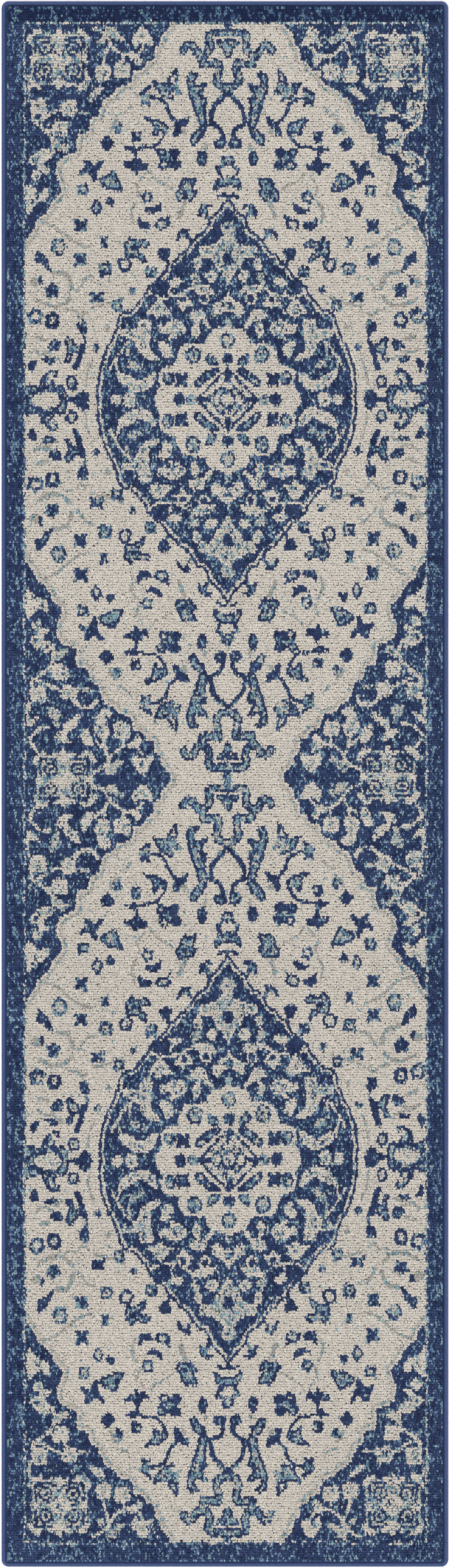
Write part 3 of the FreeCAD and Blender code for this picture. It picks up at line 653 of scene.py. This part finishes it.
def weave(x, y, seed=11):
    """Yarn number of every tuft, and how far ivory is greyed where it stands.

    A tuft's place is shifted by drift and chance, folded into one quarter of a repeat and drawn on. Its yarn
    is the first whose running total of shares reaches the tuft's lot.
    """
    rng = np.random.default_rng(seed)
    n = len(x)
    sx = x + RAGGED_X * (grain(x, y, 7, 9, 2) - .5) + rng.normal(0, STRAY_X, n)
    sy = y + RAGGED_Y * (grain(x, y, 7, 9, 4) - .5) + rng.normal(0, STRAY_Y, n)
    px = sx + drift(y, DRIFT_X) + EDGE_SHIFT * (np.abs(x) / HALF_W - .6)
    py = sy + drift(y, DRIFT_Y) + drift(y, SKEW) * x / HALF_W - drift(y, BOW) * (x / HALF_W) ** 2
    up = np.where(py > REPEAT, 1, -1)
    u = np.abs(px - PATTERN_X) * (1 + drift(y, NARROW))
    v = np.abs(py - np.where(up > 0, CENTRE_HEAD, CENTRE_FOOT))
    outer = (py * up) > np.where(up > 0, CENTRE_HEAD, -CENTRE_FOOT)
    c = Cloth(u, v)
    for draw in (field_vines, field_flowers, cartouche, palmette, medallion, spandrel):
        draw(c)
    c.free = outer
    corner_flowers(c)
    c.free = ~outer
    middle_flowers(c)
    in_border = border(c, sx, sy)
    shares = c.mix[:, :4] / c.mix[:, :4].sum(axis=1, keepdims=True)
    # grains make flecks of one colour lie together, in slanting streaks along the border
    inside = .42 * grain(x, y, 2.6, 3.6, 21) + .18 * grain(x, y, 6.5, 9, 22) + .36 * rng.random(n)
    streaks = .50 * grain(x + .25 * y, y, 2.6, 6.0, 23) + .18 * grain(x, y, 9, 30, 24) + .34 * rng.random(n)
    pick = np.where(in_border, even(streaks), even(inside))
    reached = (pick[:, None] > np.cumsum(shares, axis=1)).sum(axis=1)
    return np.minimum(reached, len(YARNS) - 1), c.mix[:, 4]


def border(c, x, y):
    """Flecked navy band round the field, with a pale guard line in it, and which tufts it takes.

    d is the distance inside the guard line: the least of the four distances from the rug's edges, less each
    edge's own width of border.
    """
    sides = np.minimum(HALF_W + x - GUARD_LEFT, HALF_W - x - GUARD_RIGHT)
    d = np.minimum(sides, np.minimum(HALF_L - y - GUARD_HEAD, HALF_L + y - GUARD_FOOT))
    c.mix[d < 0] = MIX["border"]
    c.mix[np.abs(d) < GUARD_HALF] = MIX["guard"]
    return d < 0


# ---------------------------------------------------------------- meshes
def mesh_piece(name, verts, quads, tris=None, smooth=True):
    """A mesh object from arrays: verts in millimetres, faces as rows of vertex numbers."""
    parts = [a for a in (quads, tris) if a is not None]
    sizes = np.concatenate([np.full(len(a), a.shape[1]) for a in parts])
    loops = np.concatenate([a.ravel() for a in parts]).astype(np.int32)
    mesh = bpy.data.meshes.new(name)
    mesh.vertices.add(len(verts))
    mesh.vertices.foreach_set("co", (np.asarray(verts, float) * MM).astype(np.float32).ravel())
    mesh.loops.add(len(loops))
    mesh.loops.foreach_set("vertex_index", loops)
    mesh.polygons.add(len(sizes))
    starts = np.concatenate([[0], np.cumsum(sizes)[:-1]]).astype(np.int32)
    mesh.polygons.foreach_set("loop_start", starts)
    mesh.polygons.foreach_set("use_smooth", np.full(len(sizes), smooth))
    mesh.update(calc_edges=True)
    mesh.validate()
    piece = bpy.data.objects.new(name, mesh)
    bpy.context.scene.collection.objects.link(piece)
    return piece


def flat_uv(piece):
    """A plan-view UV layer: u = (x + half width) / width, v = (y + half length) / length."""
    mesh = piece.data
    co = np.empty(len(mesh.vertices) * 3, np.float32)
    mesh.vertices.foreach_get("co", co)
    corner = np.empty(len(mesh.loops), np.int32)
    mesh.loops.foreach_get("vertex_index", corner)
    co = co.reshape(-1, 3)[corner]
    uv = np.stack([co[:, 0] / (2 * HALF_W * MM) + .5, co[:, 1] / (2 * HALF_L * MM) + .5], axis=1)
    layer = mesh.uv_layers.new(name="OFBake")
    layer.data.foreach_set("uv", uv.astype(np.float32).ravel())


def finish_piece(piece, material, nodes=()):
    """Every made piece rides on the one body and takes its slot and material."""
    piece.data.materials.append(material)
    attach(piece, "root")
    if nodes:
        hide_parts(*nodes)


# ---------------------------------------------------------------- pile
PILE_CORNER_R = 2.6                 # the pile's corners follow the seam
RIM_INSET, RIM_STEP = .45, 1.35     # a close row along the rim, where the pile was trimmed before serging
RIM_END = 3                         # how far its rows stop short of each other at the corners
ROW_SHIFT = .45                     # most that a row of tufts is out of step, in tuft steps
TUFTS_IN_PIECE = 32000

# Lean of a tuft's tip: usual, how much it swirls, stray of single tufts, the swirl's cell and its seed.
LEAN_ACROSS = (0.0, .9, .28, (60, 80), 31)
LEAN_ALONG = (-1.0, .8, .48, (50, 70), 32)
TURN_STRAY = .30                    # radians
TUFT_WIDE, TUFT_LONG = (.58, .74), (.46, .57)   # half sizes of a tip, in tuft steps
CORNER_WIDE, CORNER_LONG = (.78, 1.14), (.80, 1.14)   # share of the half size that each corner keeps
TIP_WAVE, TIP_STRAY, CORNER_STRAY, TIP_SLOPE = .10, .34, .16, .12   # in the tip's height
NAP_LIGHT_FADE = 6                            # length over which the painted nap shade at the head border and the painted nap sheen at the foot border fade in
TIP_INSET = .9                      # least distance from a tip's middle to the pile's edge


def tuft_places():
    """Where each tuft stands, row by row, no two rows in step, and once more along the rim."""
    col, row = np.meshgrid(np.arange(COLUMNS), np.arange(ROWS))
    shift = np.random.default_rng(5).uniform(-ROW_SHIFT, ROW_SHIFT, ROWS)[row]
    x = (col + .5 + shift) * STEP_X - PILE_W
    y = (row + .5) * STEP_Y - PILE_L
    past_x, past_y = np.abs(x) - (PILE_W - PILE_CORNER_R), np.abs(y) - (PILE_L - PILE_CORNER_R)
    keep = ~((past_x > 0) & (past_y > 0) & (np.hypot(past_x, past_y) > PILE_CORNER_R))
    rim_x, rim_y = PILE_W - RIM_INSET, PILE_L - RIM_INSET
    across = np.arange(RIM_END - rim_x, rim_x - RIM_END, RIM_STEP)
    along = np.arange(RIM_END - rim_y, rim_y - RIM_END, RIM_STEP)
    side, end = np.ones(len(along)), np.ones(len(across))
    x = np.concatenate([x[keep], across, across, side * rim_x, -side * rim_x])
    y = np.concatenate([y[keep], end * rim_y, -end * rim_y, along, along])
    return x, y


def lean(x, y, rng, usual, swirl, stray, cell, seed):
    """How far each tip leans, in millimetres: usual + swirl (slow grain - 1/2) + chance."""
    return usual + swirl * (grain(x, y, *cell, seed) - .5) + rng.normal(0, stray, len(x))


def tuft_mesh(x, y, seed):
    """Closed cut tufts: a point in the ground opening to a four-cornered tip, lying towards the foot end.

    A corner is the place + lean + the half sizes, each more or less by chance, turned about the tip's middle.
    """
    rng = np.random.default_rng(seed)
    n = len(x)
    lean_x = lean(x, y, rng, *LEAN_ACROSS)
    lean_y = lean(x, y, rng, *LEAN_ALONG)
    tip = PILE_TOP + TIP_WAVE * (grain(x, y, 9, 12, 33) - .5) + rng.uniform(-TIP_STRAY, TIP_STRAY, n)
    turn = rng.normal(0, TURN_STRAY, n)
    wide, long = rng.uniform(*TUFT_WIDE, n) * STEP_X, rng.uniform(*TUFT_LONG, n) * STEP_Y
    tx = np.clip(x + lean_x, -PILE_W + TIP_INSET, PILE_W - TIP_INSET)
    ty = np.clip(y + lean_y, -PILE_L + TIP_INSET, PILE_L - TIP_INSET)
    verts = np.empty((n, 5, 3))
    for k, (a, b) in enumerate(((-1, -1), (1, -1), (1, 1), (-1, 1))):
        px, py = a * wide * rng.uniform(*CORNER_WIDE, n), b * long * rng.uniform(*CORNER_LONG, n)
        verts[:, k, 0] = np.clip(tx + px * np.cos(turn) - py * np.sin(turn), -PILE_W, PILE_W)
        verts[:, k, 1] = np.clip(ty + px * np.sin(turn) + py * np.cos(turn), -PILE_L, PILE_L)
        verts[:, k, 2] = tip + rng.uniform(-CORNER_STRAY, CORNER_STRAY, n) + TIP_SLOPE * b
    verts[:, 4, 0], verts[:, 4, 1], verts[:, 4, 2] = x, y, GROUND_TOP
    base = (np.arange(n) * 5)[:, None]
    quads = base + np.array([0, 1, 2, 3])
    tris = np.concatenate([base + np.array(t) for t in ((1, 0, 4), (2, 1, 4), (3, 2, 4), (0, 3, 4))])
    return verts.reshape(-1, 3), quads, tris


def pile_tone_and_nap_light(x, y, yarn, greyed, seed=77):
    """Lightness of each tuft between its yarn's two shades, 0 to 1: 1/2 + grains of three sizes + chance.

    Ivory keeps less than half of that spread, about its own level less the greying. The coloured yarns get
    painted nap shade, darker, in the head border, and painted nap sheen, a little lighter, in the foot
    border.
    """
    rng = np.random.default_rng(seed)
    ivory = yarn == YARNS.index("ivory")
    patchy = np.where(ivory, .15, 1.0)
    grains = .50 * (grain(x, y, 4.5, 6, 41) - .5) + .34 * (grain(x, y, 13, 19, 42) - .5)
    tone = .5 + patchy * grains + rng.normal(0, .19, len(x))
    tone += .10 * (grain(x, y, 120, 160, 43) - .5)
    tone = np.where(ivory, .44 * tone + .48 - greyed, tone)
    # painted nap light: the coloured yarns are shaded darker at the head border and given a little sheen at
    # the foot border, as light falls on the leaning pile
    for shade, edge, from_edge in ((-.50, GUARD_HEAD, HALF_L - y), (.07, GUARD_FOOT, HALF_L + y)):
        tone += shade * np.clip((edge + NAP_LIGHT_FADE / 2 - from_edge) / NAP_LIGHT_FADE, 0, 1) * ~ivory
    return np.clip(tone, 0, 1)


def add_tone(piece, tone):
    """The attribute that the pile's material reads: one tone for all five corners of a tuft, with the painted
    nap shade and sheen of the borders in it.
    """
    layer = piece.data.attributes.new("tone", "FLOAT", "POINT")
    layer.data.foreach_set("value", np.repeat(tone, 5).astype(np.float32))


def nodes_beside(nodes, ends, j):
    """The CAD areas whose middle lies in stretch j of the rug. ends says where each stretch stops."""
    boxes = [(node, *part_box(node)) for node in nodes]
    return [node for node, lo, hi in boxes if int(np.searchsorted(ends, (lo[1] + hi[1]) / 2 / MM)) == j]


def make_pile(materials):
    """All the tufts, one piece for each yarn and stretch of the rug, over the CAD areas of that yarn."""
    x, y = tuft_places()
    yarn, greyed = weave(x, y)
    tone = pile_tone_and_nap_light(x, y, yarn, greyed)
    for k, name in enumerate(YARNS):
        mine = np.nonzero(yarn == k)[0]
        nodes = [node for node in sorted(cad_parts) if node.startswith("pile_" + name)]
        blocks = np.array_split(mine, -(-len(mine) // TUFTS_IN_PIECE))
        ends = [y[block].max() for block in blocks[:-1]]
        for j, block in enumerate(blocks):
            piece = mesh_piece(f"pile_{name}_tufts_{j + 1}", *tuft_mesh(x[block], y[block], 100 + 10 * k + j))
            flat_uv(piece)
            add_tone(piece, tone[block])
            finish_piece(piece, materials[name], nodes_beside(nodes, ends, j))


# ---------------------------------------------------------------- ground
def ribbed_slab(name, node, along_x, pitch, rise):
    """The node's slab with ribs on both faces: z = face -+ rise (1 - |cos(pi s / pitch)|), s across them."""
    lo, hi = (np.array(a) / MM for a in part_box(node))
    across, length = (1, 0) if along_x else (0, 1)
    count = int((hi[across] - lo[across]) / pitch) * 4
    s = np.linspace(lo[across], hi[across], count + 1)
    dip = rise * (1 - np.abs(np.cos(np.pi * (s - s[0]) / pitch)))
    m = len(s)
    verts = np.empty((2, m, 2, 3))
    verts[..., across] = s[None, :, None]
    verts[..., length] = np.array([lo[length], hi[length]])
    verts[0, :, :, 2] = (lo[2] + dip)[:, None]
    verts[1, :, :, 2] = (hi[2] - dip)[:, None]
    low = 2 * np.arange(m - 1)
    top = low + 2 * m
    quads = np.concatenate([
        np.stack([top, top + 1, top + 3, top + 2], 1),
        np.stack([low, low + 2, low + 3, low + 1], 1),
        np.stack([low, top, top + 2, low + 2], 1),
        np.stack([low + 1, low + 3, top + 3, top + 1], 1),
        np.array([[0, 1, 2 * m + 1, 2 * m], [2 * m - 2, 4 * m - 2, 4 * m - 1, 2 * m - 1]]),
    ])
    if not along_x:
        quads = quads[:, ::-1]
    return mesh_piece(name, verts.reshape(-1, 3), quads, smooth=False)


def make_ground(materials):
    """Latex back, two layers of jute weft, and the stuffer and chain warps between them."""
    weft, warp = 2 * STEP_Y, 2 * STEP_X
    back = ribbed_slab("woven_back", "back_coating", True, weft, .14)
    finish_piece(back, materials["latex"], ["back_coating"])
    for name, node, along_x, pitch, rise, slot, material in (
        ("lower_weft_yarns", "lower_weft", True, weft, .16, "jute_yarn", "jute"),
        ("stuffer_warp_yarns", "stuffer_warp", False, warp, .12, "warp_yarn", "cotton"),
        ("upper_weft_yarns", "upper_weft", True, weft, .16, "jute_yarn", "jute"),
        ("chain_warp_yarns", "chain_warp", False, warp, .10, "warp_yarn", "cotton"),
    ):
        layer = ribbed_slab(name, node, along_x, pitch, rise)
        finish_piece(layer, materials[material], [node])


# ---------------------------------------------------------------- edge
CORNER_R = 10.5                     # of the rug's outline
SIDE_END = 1107.5                   # where the side runs stop and the head and foot runs start
SERGING_INSET, SERGING_STEP = 3.5, .6
SERGING_HALF_W, SERGING_HALF_H, SERGING_MIDDLE = 3.45, 2.76, 2.79
STEPS_IN_WRAP, PINCH, LOOSE, MOST_WRAPS = 3, .87, .94, 4000
SEAM_INSET, SEAM_STEP, STEPS_IN_STITCH = 7.5, 1.3, 4
AROUND = 10                         # corners of a tube's section


def edge_path(place, inset, step):
    """Points along one run of the rounded outline, inset from the rug's edge, with the outward way at each.

    The head run goes up the right side, round a quarter circle (r cos a, r sin a), across and down the left.
    """
    r = CORNER_R - inset
    w, h = HALF_W - inset, HALF_L - inset
    if place in ("left", "right"):
        side = -1 if place == "left" else 1
        y = np.linspace(-SIDE_END, SIDE_END, int(2 * SIDE_END / step)) * side
        return np.stack([np.full(len(y), side * w), y], 1), np.tile([float(side), 0.0], (len(y), 1))
    a = np.linspace(0, np.pi / 2, max(4, int(r * np.pi / 2 / step)))
    arc = np.stack([np.cos(a), np.sin(a)], 1)
    up = np.arange(SIDE_END, h - r, step)
    across = np.arange(w - r - step, -(w - r), -step)
    right = np.concatenate([np.stack([np.full(len(up), w), up], 1), [w - r, h - r] + r * arc])
    right_out = np.concatenate([np.tile([1.0, 0.0], (len(up), 1)), arc])
    mirror = [-1, 1]
    path = np.concatenate([right, np.stack([across, np.full(len(across), h)], 1), right[::-1] * mirror])
    out = np.concatenate([right_out, np.tile([0.0, 1.0], (len(across), 1)), right_out[::-1] * mirror])
    return (path, out) if place == "head" else (-path, -out)


def sweep(name, path, out, section):
    """A closed tube with flat caps: at step i and angle t it is at path + far x outward way, height high.

    section(i, t) gives far and high.
    """
    n = len(path)
    i, t = np.meshgrid(np.arange(n), np.arange(AROUND) * 2 * np.pi / AROUND, indexing="ij")
    far, high = section(i, t)
    verts = np.empty((n, AROUND, 3))
    verts[..., :2] = path[:, None, :] + out[:, None, :] * far[..., None]
    verts[..., 2] = high
    k, j = np.meshgrid(np.arange(n - 1), np.arange(AROUND), indexing="ij")
    a, b = k * AROUND + j, k * AROUND + (j + 1) % AROUND
    quads = np.stack([a, b, b + AROUND, a + AROUND], -1).reshape(-1, 4)
    fan = np.arange(1, AROUND - 1)
    first = np.stack([np.zeros_like(fan), fan + 1, fan], 1)
    last = (n - 1) * AROUND + np.stack([np.zeros_like(fan), fan, fan + 1], 1)
    return mesh_piece(name, verts.reshape(-1, 3), quads, np.concatenate([first, last]))


def serging_section(seed):
    """Squarish tube, pinched between wraps: far = width r |cos t|^.8 and high = middle + height r sin t.

    r is the pinch at every third step, and a little loose, .94 to 1, at the steps of a wrap.
    """
    wraps = np.random.default_rng(seed).uniform(LOOSE, 1.0, MOST_WRAPS)

    def section(i, t):
        """Where the yarn's surface is at step i and angle t."""
        r = np.where(i % STEPS_IN_WRAP == 0, PINCH, wraps[(i // STEPS_IN_WRAP) % MOST_WRAPS])
        c, s = np.cos(t), np.sin(t)
        round_c = np.sign(c) * np.abs(c) ** .8
        return SERGING_HALF_W * r * round_c, SERGING_MIDDLE + SERGING_HALF_H * r * s
    return section


def seam_section(i, t):
    """A thread that rises by |sin(pi i / steps in a stitch)| and is wider where it lies on top."""
    rise = np.abs(np.sin(np.pi * i / STEPS_IN_STITCH))
    return .80 * np.cos(t) + .15 * np.cos(t) * rise, 3.7 + 1.15 * rise + .62 * np.sin(t)


def make_serging(materials):
    """The serging yarn, wrapped round the edge every 1.8 mm, in four runs."""
    for k, place in enumerate(RUNS):
        path, out = edge_path(place, SERGING_INSET, SERGING_STEP)
        piece = sweep("serging_wraps_" + place, path, out, serging_section(200 + k))
        finish_piece(piece, materials["serging"], ["serging_" + place])


def make_seam(materials):
    """The seam's stitches, 5.2 mm long, along the inside of the serging."""
    for place in RUNS:
        path, out = edge_path(place, SEAM_INSET, SEAM_STEP)
        piece = sweep("seam_stitches_" + place, path, out, seam_section)
        finish_piece(piece, materials["seam"], ["seam_thread"] if place == "head" else ())


def show_cords(materials):
    """The CAD's own edge cords, inside the serging, in plain cotton."""
    for place in RUNS:
        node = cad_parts["edge_cord_" + place]
        node.data.materials.clear()
        node.data.materials.append(materials["cotton"])


# ---------------------------------------------------------------- materials
WEAVE_ACROSS, WEAVE_ALONG = 2730.0, 2416.0   # the back's yarns, in radians per metre


class Value:
    """A shader value that adds, subtracts and multiplies like a number."""

    def __init__(self, tree, socket):
        """Wrap one socket of the tree."""
        self.tree, self.socket = tree, socket

    def node(self, kind, settings=(), inputs=()):
        """Any node: its type, its settings, and the values or links of its sockets."""
        made = self.tree.nodes.new(kind)
        for key, value in dict(settings).items():
            setattr(made, key, value)
        for key, value in dict(inputs).items():
            self.put(made.inputs[key], value)
        return made

    def put(self, socket, value):
        """Link a value or an output to the socket, or set a plain number or colour on it."""
        if isinstance(value, Value):
            self.tree.links.new(value.socket, socket)
        elif hasattr(value, "is_output"):
            self.tree.links.new(value, socket)
        else:
            socket.default_value = value

    def math(self, operation, *values):
        """The result of one Math node."""
        made = self.node("ShaderNodeMath", {"operation": operation}, dict(enumerate(values)))
        return Value(self.tree, made.outputs[0])

    def __add__(self, other):
        return self.math("ADD", self, other)

    def __mul__(self, other):
        return self.math("MULTIPLY", self, other)

    def __sub__(self, other):
        return self.math("SUBTRACT", self, other)

    def __rsub__(self, other):
        return self.math("SUBTRACT", other, self)

    __radd__, __rmul__ = __add__, __mul__

    def sine(self):
        """The sine of this value, taken as radians."""
        return self.math("SINE", self)

    def blend(self, low, high):
        """The colour between low and high at this value."""
        made = self.node("ShaderNodeMix", {"data_type": "RGBA"}, {0: self, 6: low, 7: high})
        return Value(self.tree, made.outputs[2])


def linear(red, green, blue):
    """A screen colour, 0 to 255, as the shader's linear colour: c / 12.92, or ((c + .055) / 1.055)^2.4."""
    c = np.array([red, green, blue]) / 255
    c = np.where(c < .04045, c / 12.92, ((c + .055) / 1.055) ** 2.4)
    return (*(float(a) for a in c), 1.0)


def start_material(name, roughness):
    """A dull material, with a maker for its nodes and its surface shader."""
    material = bpy.data.materials.new(name)
    material.use_nodes = True
    tree = material.node_tree
    surface = tree.nodes["Principled BSDF"]
    surface.inputs["Roughness"].default_value = roughness
    surface.inputs["Specular IOR Level"].default_value = 0.15
    return material, Value(tree, None), surface


def noise(maker, scale, detail):
    """Fine noise on Object coordinates, 0 to 1."""
    place = maker.node("ShaderNodeTexCoord").outputs["Object"]
    made = maker.node("ShaderNodeTexNoise", {}, {"Vector": place, "Scale": scale, "Detail": detail})
    return Value(maker.tree, made.outputs["Fac"])


def dress(maker, surface, shade, shades, height, strength, distance):
    """Colour the surface between its two shades, and raise it by a bump of the given height."""
    dark, light = shades
    maker.put(surface.inputs["Base Color"], shade.blend(linear(*dark), linear(*light)))
    bump = maker.node("ShaderNodeBump", {}, {"Strength": strength, "Distance": distance, "Height": height})
    maker.put(surface.inputs["Normal"], bump.outputs["Normal"])


def pile_material(name, shades):
    """Cut pile: each tuft's own tone + .9 (fibre noise - 1/2), between the yarn's dark and light shades."""
    material, maker, surface = start_material(name, .95)
    tone = Value(maker.tree, maker.node("ShaderNodeAttribute", {"attribute_name": "tone"}).outputs["Fac"])
    fibre = noise(maker, 2000.0, 1.0)
    dress(maker, surface, tone + (fibre - .5) * .9, shades, fibre, .3, .0003)
    return material


def thread_material(name, shades, scale, roughness):
    """Twisted thread: fine flecks between two shades, with the twist as a bump."""
    material, maker, surface = start_material(name, roughness)
    fleck = noise(maker, scale, 3.0)
    dress(maker, surface, fleck, shades, fleck, .35, .0004)
    return material


def woven_material(name, shades, across, along):
    """Woven ground under its coating: .1 + .35 sin(across x) sin(along y) + .8 noise, dark in the gaps."""
    material, maker, surface = start_material(name, .85)
    place = maker.node("ShaderNodeTexCoord").outputs["Object"]
    axes = maker.node("ShaderNodeSeparateXYZ", {}, {0: place})
    x, y = Value(maker.tree, axes.outputs[0]), Value(maker.tree, axes.outputs[1])
    wave = (x * across).sine() * (y * along).sine()
    shade = wave * .35 + noise(maker, 260.0, 3.0) * .8 + .1
    dress(maker, surface, shade, shades, shade, .5, .0004)
    return material


def make_materials():
    """One material for each yarn of the pile and each other finish."""
    made = {yarn: pile_material(yarn + "_pile", shades) for yarn, shades in PILE_SHADES.items()}
    made["serging"] = thread_material("serging_yarn", SERGING_SHADES, 900.0, .8)
    made["seam"] = thread_material("seam_yarn", SEAM_SHADES, 900.0, .85)
    made["cotton"] = thread_material("warp_yarn", COTTON_SHADES, 700.0, .9)
    made["jute"] = thread_material("jute_weft", JUTE_SHADES, 600.0, .9)
    made["latex"] = woven_material("latexed_back", LATEX_SHADES, WEAVE_ACROSS, WEAVE_ALONG)
    return made


# ---------------------------------------------------------------- staging
FLOOR_HALF, FLOOR_SHADE, FLOOR_GLOW = 40, .93, .22
WORLD_LIGHT = .78
SUNS = (                            # name, turn in radians, energy, spread in degrees
    ("key_light", (.62, -.35, .0), 1.55, 12),
    ("fill_light", (-.5, .55, .0), .45, 25),
)
LENS, SENSOR = 135, 36
FRAMING = 1.0007                    # the frame's length over the rug's
CAMERA_X = -.0006


def make_floor():
    """A wide plain pale floor."""
    f = FLOOR_HALF
    mesh = bpy.data.meshes.new("floor")
    mesh.from_pydata([(-f, -f, 0), (f, -f, 0), (f, f, 0), (-f, f, 0)], [], [(0, 1, 2, 3)])
    floor = bpy.data.objects.new("floor", mesh)
    bpy.context.scene.collection.objects.link(floor)
    material, _, surface = start_material("floor", 1.0)
    surface.inputs["Base Color"].default_value = (FLOOR_SHADE, FLOOR_SHADE, FLOOR_SHADE, 1)
    surface.inputs["Emission Color"].default_value = (1, 1, 1, 1)
    surface.inputs["Emission Strength"].default_value = FLOOR_GLOW
    mesh.materials.append(material)


def make_lights():
    """A pale, even studio: white surroundings and two broad suns."""
    world = bpy.data.worlds.new("studio")
    world.use_nodes = True
    world.node_tree.nodes["Background"].inputs["Color"].default_value = (1, 1, 1, 1)
    world.node_tree.nodes["Background"].inputs["Strength"].default_value = WORLD_LIGHT
    bpy.context.scene.world = world
    for name, turn, energy, spread in SUNS:
        data = bpy.data.lights.new(name, "SUN")
        data.energy, data.angle = energy, np.radians(spread)
        lamp = bpy.data.objects.new(name, data)
        lamp.rotation_euler = turn
        bpy.context.scene.collection.objects.link(lamp)
    bpy.context.scene.view_settings.view_transform = "Standard"


def make_camera():
    """Straight above, with the rug filling the upright frame: height = length seen x lens / sensor + pile."""
    data = bpy.data.cameras.new("camera")
    data.type, data.lens, data.sensor_width = "PERSP", LENS, SENSOR
    camera = bpy.data.objects.new("camera", data)
    seen = 2 * HALF_L * MM * FRAMING
    camera.location = (CAMERA_X, .0, seen / (SENSOR / LENS) + PILE_TOP * MM)
    data.clip_start, data.clip_end = .1, 200
    bpy.context.scene.collection.objects.link(camera)
    bpy.context.scene.camera = camera


materials = make_materials()
make_ground(materials)
show_cords(materials)
make_serging(materials)
make_seam(materials)
make_pile(materials)
make_floor()
make_lights()
make_camera()
